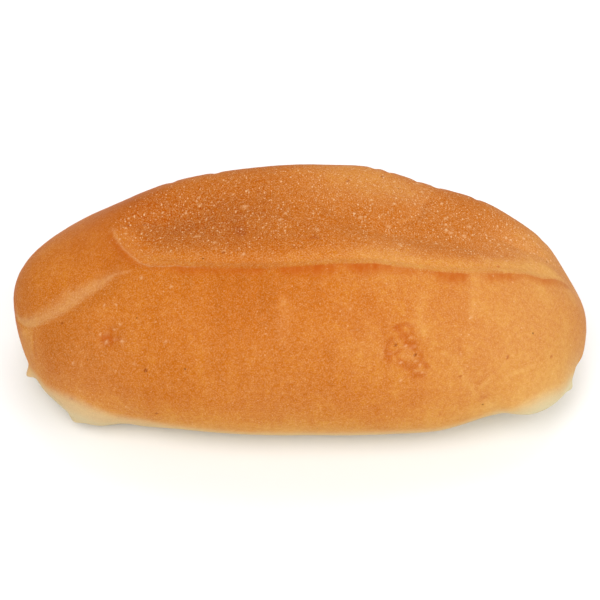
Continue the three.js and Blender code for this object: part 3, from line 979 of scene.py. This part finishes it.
class NodeDesk:
    """Lays out the nodes of one material and joins them."""

    def __init__(self, material: bpy.types.Material) -> None:
        """Start an empty node tree with its shader and output.

        Args:
            material: the material whose nodes are laid out.
        """
        material.use_nodes = True
        self.tree = material.node_tree
        self.tree.nodes.clear()
        self.shader = self.add("BsdfPrincipled", {})
        self.add("OutputMaterial", {"Surface": Wire(self, self.shader.outputs["BSDF"])})

    def feed(self, node: bpy.types.Node, values: dict) -> None:
        """Join wires to a node's sockets, or set the sockets to constants.

        Args:
            node: the node that takes them.
            values: a wire or constant for each name or number of a socket.
        """
        for name, value in values.items():
            if isinstance(value, Wire):
                self.tree.links.new(value.socket, node.inputs[name])
            else:
                node.inputs[name].default_value = value

    def add(self, kind: str, values: dict) -> bpy.types.Node:
        """Add one shader node and feed it.

        Args:
            kind: the kind of node.
            values: a wire or constant for each name or number of a socket.

        Returns:
            The node.
        """
        node = self.tree.nodes.new("ShaderNode" + kind)
        self.feed(node, values)
        return node

    def math(self, operation: str, first: Wire | float, second: Wire | float) -> Wire:
        """Add a sum of two values.

        Args:
            operation: the kind of sum, as the Math node names it.
            first: a wire or number.
            second: another wire or number.

        Returns:
            The result.
        """
        node = self.add("Math", {0: first, 1: second})
        node.operation = operation
        return Wire(self, node.outputs[0])

    def between(self, value: Wire, low: float, high: float, start: float = 0, end: float = 1) -> Wire:
        """Change smoothly from start to end as a value passes from low to high.

        Args:
            value: what is read.
            low: where the change starts.
            high: where it ends, which may be below low.
            start: the result on the side of low.
            end: the result on the side of high.

        Returns:
            The result.
        """
        if low > high:
            low, high, start, end = high, low, end, start
        limits = {"From Min": low, "From Max": high, "To Min": start, "To Max": end}
        node = self.add("MapRange", {"Value": value, **limits})
        node.interpolation_type = "SMOOTHSTEP"
        return Wire(self, node.outputs["Result"])

    def attribute(self, name: str) -> Wire:
        """Read an attribute of the mesh.

        Args:
            name: the name that the piece gave it.

        Returns:
            Its value.
        """
        node = self.add("Attribute", {})
        node.attribute_type = "GEOMETRY"
        node.attribute_name = name
        return Wire(self, node.outputs["Fac"])

    def place(self, stretch: tuple = (1, 1, 1), shift: tuple = (0, 0, 0)) -> Wire:
        """Read the places of the piece in millimetres.

        Args:
            stretch: how much each axis is multiplied.
            shift: how far they are then moved.

        Returns:
            The places.
        """
        source = Wire(self, self.add("TexCoord", {}).outputs["Object"])
        scale = tuple(part / METRE for part in stretch)
        node = self.add("Mapping", {"Vector": source, "Scale": scale, "Location": shift})
        return Wire(self, node.outputs["Vector"])

    def cloud(self, places: Wire, cloud: Cloud) -> Wire:
        """Add cloudy noise.

        Args:
            places: where it is read.
            cloud: what it is like.

        Returns:
            The noise, round 0.
        """
        layers = {"Detail": cloud.detail, "Roughness": cloud.rough, "Distortion": cloud.twist}
        node = self.add("TexNoise", {"Vector": places, "Scale": 1 / cloud.size, **layers})
        return Wire(self, node.outputs["Fac"]) - 0.5

    def specks(self, places: Wire, specks: Specks) -> Wire:
        """Add round specks.

        Args:
            places: where they are read.
            specks: what they are like.

        Returns:
            1 in the middle of each speck and 0 between them.
        """
        node = self.add("TexVoronoi", {"Vector": places, "Scale": 1 / specks.spacing})
        chance = self.add("SeparateColor", {"Color": Wire(self, node.outputs["Color"])})
        red, green = (Wire(self, chance.outputs[name]) for name in ("Red", "Green"))
        present = self.math("GREATER_THAN", red, 1 - specks.share)
        size = green * (specks.radius * 0.55) + specks.radius * 0.45
        edge = size * present - Wire(self, node.outputs["Distance"])
        return self.between(edge, 0, specks.radius * 0.3)

    def mix(self, share: Wire, first: Wire, second: tuple, clamp: bool = True) -> Wire:
        """Mix two colours.

        Args:
            share: how much of the second is taken.
            first: a colour.
            second: another colour.
            clamp: whether the share is kept between 0 and 1.

        Returns:
            The mixed colour.
        """
        node = self.add("Mix", {})
        node.data_type = "RGBA"
        node.clamp_factor = clamp
        self.feed(node, {"Factor": share, 6: first, 7: second})
        return Wire(self, node.outputs[2])

    def ramp(self, value: Wire, stops: tuple) -> Wire:
        """Turn a value into a colour.

        Args:
            value: what is read.
            stops: pairs of a place from 0 to 1 and a colour, in order.

        Returns:
            The colour.
        """
        node = self.add("ValToRGB", {"Fac": value})
        bar = node.color_ramp.elements
        bar[0].position, bar[0].color = stops[0]
        bar[1].position, bar[1].color = stops[-1]
        for position, colour in stops[1:-1]:
            bar.new(position).color = colour
        return Wire(self, node.outputs["Color"])


class CrustDesk(NodeDesk):
    """The crust's desk, with what several layers of the crust read of the desk."""

    def __init__(self, material: bpy.types.Material) -> None:
        """Join the wires that the layers share.

        Args:
            material: the crust's material.
        """
        super().__init__(material)
        self.here = self.place()
        ragged = self.cloud(self.here, Cloud(1.3, 3, 0.6))
        wander = self.cloud(self.here, Cloud(5, 3))
        self.broad = self.cloud(self.here, Cloud(22))
        self.cloudy = self.cloud(self.here, Cloud(6, 3, 0.55, 0.4))
        self.streaky = self.cloud(self.place((1, 0.25, 0.25)), Cloud(4.5))
        self.mottle = self.cloud(self.here, Cloud(1.1))
        self.grain = self.cloud(self.here, Cloud(0.36, 2, 0.7)) * (1 - self.attribute("calm"))
        self.edge = self.attribute("into_slash") + ragged * 0.5
        self.opened = self.between(self.edge, -0.1, 1.6)
        self.near = self.between(self.attribute("near_side"), 0, 0.6)
        self.above = self.attribute("above_pale") + wander * 1.4
        self.over_back = self.between(self.attribute("over_back") + ragged, -1.4, 1.7)
        # a band inside the near lip, painted lighter against the shade beside the lip's step
        lip = self.between(self.edge, 0.1, 1.2) * self.between(self.edge, 7, 2.5)
        self.inner_lip = lip * self.near

        # the stretched band across the left end
        band, along = self.attribute("end_band"), self.attribute("end_along")
        upward = band / self.between(along, 0.1, 0.6, 0.45, 1) + wander * 2 + ragged * 2
        stretched = self.between(upward, 5.7, 1.2) * self.between(band + ragged * 0.9, -1.6, 0.5)
        self.stretched = stretched * self.between(along, 0.02, 0.3)


@dataclass(frozen=True)
class CrustFinish:
    """The baked crust, from the cream of the foot to the brown of the opened slash.

    A bake is a place on the ramp of shades. The bakes that are added may be below zero.
    """

    shades: tuple = (
        (0.0, (0.66, 0.335, 0.068, 1)),
        (0.056, (0.64, 0.31, 0.06, 1)),
        (0.167, (0.6, 0.262, 0.045, 1)),
        (0.25, (0.57, 0.225, 0.034, 1)),
        (0.333, (0.54, 0.19, 0.026, 1)),
        (0.417, (0.51, 0.162, 0.02, 1)),
        (0.472, (0.49, 0.146, 0.017, 1)),
        (0.528, (0.47, 0.133, 0.013, 1)),
        (0.611, (0.44, 0.122, 0.01, 1)),
        (0.75, (0.39, 0.102, 0.007, 1)),
        (1.0, (0.3, 0.068, 0.004, 1)),
    )
    cream: tuple = (0.63, 0.53, 0.31, 1)
    red_edge: tuple = (0.43, 0.085, 0.005, 1)
    speck: tuple = (0.72, 0.45, 0.24, 1)
    # the pale colour of a painted sheen, which the fine grain is mixed towards
    gleam: tuple = (0.95, 0.65, 0.33, 1)
    pore: tuple = (0.16, 0.05, 0.012, 1)
    skin_bake: float = 0.5
    opened_bake: float = 0.07
    valley_bake: float = 0.08
    # painted light inside the near lip, lifting the shade beside its step
    inner_lip_painted_light: float = -0.17
    back_bake: float = 0.22
    stretched_bake: float = -0.12
    low_bake: tuple = (16, 1, 0, -0.2)
    foot_bake: tuple = (5, 1, 0, -0.06)
    streaks_end: tuple = (1, -1)
    broad_bake: float = 0.14
    cloudy_bake: float = 0.2
    streaky_bake: float = 0.2
    mottled_bake: float = 0.36
    grain_bakes: tuple = (0.2, 0.35)
    grain_change: tuple = (-0.5, 3)
    glints: tuple = (0.48, 0.72)
    # a thin painted highlight along the near lip's edge, mixed towards the cream
    highlight_front: tuple = (-0.45, -0.1)
    highlight_back: tuple = (0.4, 0.05)
    highlight_cream: float = 0.22
    stretched_cream: float = 0.14
    inner_lip_painted_cream: float = 0.02
    edge_cream: tuple = (3.8, -2, 0, 0.57)
    faint_cream: tuple = (10, 2, 0, 0.03)
    foot_cream: tuple = (-1.5, -8, 0, 0.27)
    seam_red_widths: tuple = (1.3, 0.5)
    seam_front: tuple = (-2, -0.4)
    seam_back: tuple = (0.35, -0.15)
    seam_cloud: Cloud = Cloud(2.5, 3, 0.6)
    seam_gaps: tuple = (-0.2, 0.2, 0.45, 1)
    back_red: float = 0.2
    coarse_specks: Specks = Specks(1.15, 0.28, 0.5)
    fine_specks: Specks = Specks(0.6, 0.36, 0.6)
    few_specks: Specks = Specks(1.7, 0.17, 0.3)
    pores: Specks = Specks(4.2, 0.08, 0.25)
    corner_x: tuple = (-34, -42)
    corner_inward: float = 5
    specks_inward: tuple = (1.5, 9, 0, 0.7)
    speck_cloud: Cloud = Cloud(4)
    speck_gaps: tuple = (-0.2, 0.05, 0.45, 1)
    specks_over_back: tuple = (0.2, 0.9, 1, 0.2)
    fine_strength: float = 0.9
    few_strength: float = 0.35
    pore_strength: float = 0.7
    dome_heights: tuple = (0.02, 0.12)
    dome_strength: float = 0.5
    roughness: float = 0.54
    shine: float = 0.05
    bump: float = 0.8

    def bake(self, desk: CrustDesk) -> Wire:
        """Work out how darkly each place is baked.

        Args:
            desk: the crust's desk.

        Returns:
            The place on the ramp of shades.
        """
        return (
            desk.attribute("darker")
            + self.skin_bake
            + desk.broad * self.broad_bake
            + desk.cloudy * self.cloudy_bake
            + desk.streaky * self.streaky_bake * desk.between(desk.edge, *self.streaks_end)
            + desk.mottle * self.mottled_bake
            + desk.grain * desk.between(desk.edge, *self.grain_change, *self.grain_bakes)
            + desk.opened * self.opened_bake
            + desk.attribute("valley") * self.valley_bake
            + desk.inner_lip * self.inner_lip_painted_light
            + desk.over_back * self.back_bake
            + desk.stretched * self.stretched_bake
            + desk.between(desk.above, *self.low_bake)
            + desk.between(desk.above, *self.foot_bake)
        )

    def pale(self, desk: CrustDesk) -> Wire:
        """Work out how much of the cream each place has: most at the foot, and some as painted light
        and a painted highlight along the near lip.

        Args:
            desk: the crust's desk.

        Returns:
            The share of cream.
        """
        # a painted highlight along the edge of the near lip, at its left
        line = desk.between(desk.edge, *self.highlight_front) * desk.between(desk.edge, *self.highlight_back)
        line = line * desk.attribute("seam_highlight") * desk.near
        foot = desk.between(desk.above, *self.edge_cream)
        foot = foot + desk.between(desk.above, *self.faint_cream)
        foot = foot + desk.between(desk.above, *self.foot_cream)
        # the pale stretched band, and painted light inside the near lip
        ends = desk.stretched * self.stretched_cream + desk.inner_lip * self.inner_lip_painted_cream
        ends = ends + line * self.highlight_cream
        return (desk.attribute("paler") + ends + foot).at_least(0)

    def red(self, desk: CrustDesk) -> Wire:
        """Work out how much of the red each place has: most along the near lip.

        Args:
            desk: the crust's desk.

        Returns:
            The share of red.
        """
        strength = desk.attribute("seam_red")
        uneven = desk.cloud(desk.place((1, 0.3, 0.3)), self.seam_cloud)
        widening, least = self.seam_red_widths
        width = strength * widening + least
        seam = desk.between(desk.edge / width, *self.seam_front) * strength
        seam = seam * desk.between(desk.edge, *self.seam_back) * desk.near
        seam = seam * desk.between(uneven, *self.seam_gaps)
        return (seam + desk.attribute("redder") + desk.over_back * self.back_red).at_least(0)

    def dots(self, desk: CrustDesk) -> Wire:
        """Scatter the light specks: many in the opened slash, few elsewhere.

        Args:
            desk: the crust's desk.

        Returns:
            1 in the middle of each speck and 0 between them.
        """
        axes = desk.add("SeparateXYZ", {"Vector": desk.here})
        over_corner = desk.between(Wire(desk, axes.outputs["X"]), *self.corner_x)
        inward = desk.edge + over_corner.at_least(1 - desk.near) * self.corner_inward
        across = desk.place((1, 0.62, 0.8))
        fine = desk.specks(across, self.fine_specks) * self.fine_strength
        many = desk.specks(across, self.coarse_specks).at_least(fine)
        many = many * desk.between(inward, *self.specks_inward)
        cloud = desk.cloud(desk.here, self.speck_cloud)
        many = many * desk.between(cloud, *self.speck_gaps)
        many = many * desk.between(desk.over_back, *self.specks_over_back)
        few = desk.specks(desk.here, self.few_specks) * self.few_strength
        domes = desk.between(desk.attribute("blister"), *self.dome_heights) * self.dome_strength
        return many.at_least(few).at_least(domes)

    def make(self) -> bpy.types.Material:
        """Make the material.

        Returns:
            The finished material.
        """
        material = bpy.data.materials.new("crust")
        desk = CrustDesk(material)
        dots = self.dots(desk)
        pores = desk.specks(desk.place(shift=(3.1, 7.7, 1.3)), self.pores)
        # the crust's real fine grain with a painted sheen: its light side is doubled and mixed
        # towards the gleam
        glint = desk.grain + desk.grain.at_least(0)
        glint = glint * desk.between(desk.edge, *self.grain_change, *self.glints)
        colour = desk.ramp(self.bake(desk), self.shades)
        colour = desk.mix(self.pale(desk), colour, self.cream)
        colour = desk.mix(glint, colour, self.gleam, clamp=False)
        colour = desk.mix(self.red(desk), colour, self.red_edge)
        colour = desk.mix(dots + desk.attribute("bubbly"), colour, self.speck)
        colour = desk.mix(pores * self.pore_strength, colour, self.pore)

        height = desk.grain * 0.05 + desk.mottle * 0.1 + dots * 0.06 - pores * 0.12
        bump = desk.add("Bump", {"Strength": self.bump, "Distance": METRE, "Height": height})
        rough = desk.cloudy * 0.12 + desk.opened * 0.08 + self.roughness
        desk.feed(desk.shader, {"Base Color": colour, "Roughness": rough})
        normal = Wire(desk, bump.outputs["Normal"])
        desk.feed(desk.shader, {"Specular IOR Level": self.shine, "Normal": normal})
        return material


@dataclass(frozen=True)
class PaperFinish:
    """The plain pale paper that the roll is photographed on."""

    colour: tuple = (0.9, 0.9, 0.9, 1)
    roughness: float = 0.9
    shine: float = 0.1

    def make(self) -> bpy.types.Material:
        """Make the material.

        Returns:
            The finished material.
        """
        material = bpy.data.materials.new("paper")
        desk = NodeDesk(material)
        desk.feed(desk.shader, {"Base Color": self.colour, "Roughness": self.roughness})
        desk.feed(desk.shader, {"Specular IOR Level": self.shine})
        return material


class LightRole(Enum):
    """What a lamp of the studio does."""

    KEY = "key"
    FILL = "fill"
    BACK = "back"


@dataclass(frozen=True)
class Lamp:
    """A large soft lamp, in metres and watts."""

    role: LightRole
    place: tuple
    size: float
    power: float

    def build(self, aim: Vector) -> None:
        """Make the lamp.

        Args:
            aim: the point that it is turned to.
        """
        light = bpy.data.lights.new(self.role.value, "AREA")
        light.shape = "DISK"
        light.size = self.size
        light.energy = self.power
        lamp = bpy.data.objects.new(self.role.value, light)
        lamp.location = self.place
        lamp.rotation_euler = (aim - Vector(self.place)).to_track_quat("-Z", "Y").to_euler()
        bpy.context.collection.objects.link(lamp)


@dataclass(frozen=True)
class Studio:
    """The floor, the soft light and the camera, in metres."""

    aim: tuple = (-0.00005, -0.00097, 0.02392)
    elevation: float = 48
    distance: float = 0.7
    lens: float = 160.9
    floor_size: float = 4
    surround: float = 0.52
    lamps: tuple = (
        Lamp(LightRole.KEY, (-0.25, -0.6, 0.95), 0.9, 7.5),
        Lamp(LightRole.FILL, (0.6, -0.5, 0.7), 0.9, 4),
        Lamp(LightRole.BACK, (0.1, 0.6, 0.9), 0.9, 4),
    )

    def build_floor(self) -> bpy.types.Object:
        """Lay the floor.

        Returns:
            The floor's object.
        """
        sheet = bmesh.new()
        bmesh.ops.create_grid(sheet, x_segments=1, y_segments=1, size=self.floor_size / 2)
        mesh = bpy.data.meshes.new("floor")
        sheet.to_mesh(mesh)
        sheet.free()
        mesh.materials.append(PaperFinish().make())
        floor = bpy.data.objects.new("floor", mesh)
        bpy.context.collection.objects.link(floor)
        return floor

    def build_light(self) -> None:
        """Set the even light of the white surroundings and hang the lamps."""
        world = bpy.data.worlds.new("studio")
        world.use_nodes = True
        sky = world.node_tree.nodes["Background"]
        sky.inputs["Color"].default_value = (1, 1, 1, 1)
        sky.inputs["Strength"].default_value = self.surround
        bpy.context.scene.world = world
        for lamp in self.lamps:
            lamp.build(Vector(self.aim))

    def build_camera(self) -> None:
        """Set up the camera at the photograph's angle and make it the scene's."""
        camera = bpy.data.cameras.new("camera")
        camera.lens = self.lens
        camera.sensor_width = 36
        camera.clip_start = 0.01
        stand = bpy.data.objects.new("camera", camera)
        rise = math.radians(self.elevation)
        back = Vector((0, -math.cos(rise), math.sin(rise)))
        stand.location = Vector(self.aim) + self.distance * back
        stand.rotation_euler = (math.radians(90 - self.elevation), 0, 0)
        bpy.context.collection.objects.link(stand)
        bpy.context.scene.camera = stand
        bpy.context.scene.view_settings.view_transform = "Standard"


def main() -> None:
    """Load the frame and build the roll and its studio, one after the other."""
    logging.basicConfig(level=logging.INFO, format="%(name)s: %(message)s")
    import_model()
    studio = Studio()
    studio.build_camera()
    floor = studio.build_floor()
    studio.build_light()
    log.info("studio: floor, %d lamps and camera", len(studio.lamps))
    roll = BreadRoll().build()
    roll.data.materials.append(CrustFinish().make())
    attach(roll, "root")
    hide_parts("roll")
    log.info("bread_roll: %d faces", len(roll.data.polygons))


if __name__ == "__main__":
    main()
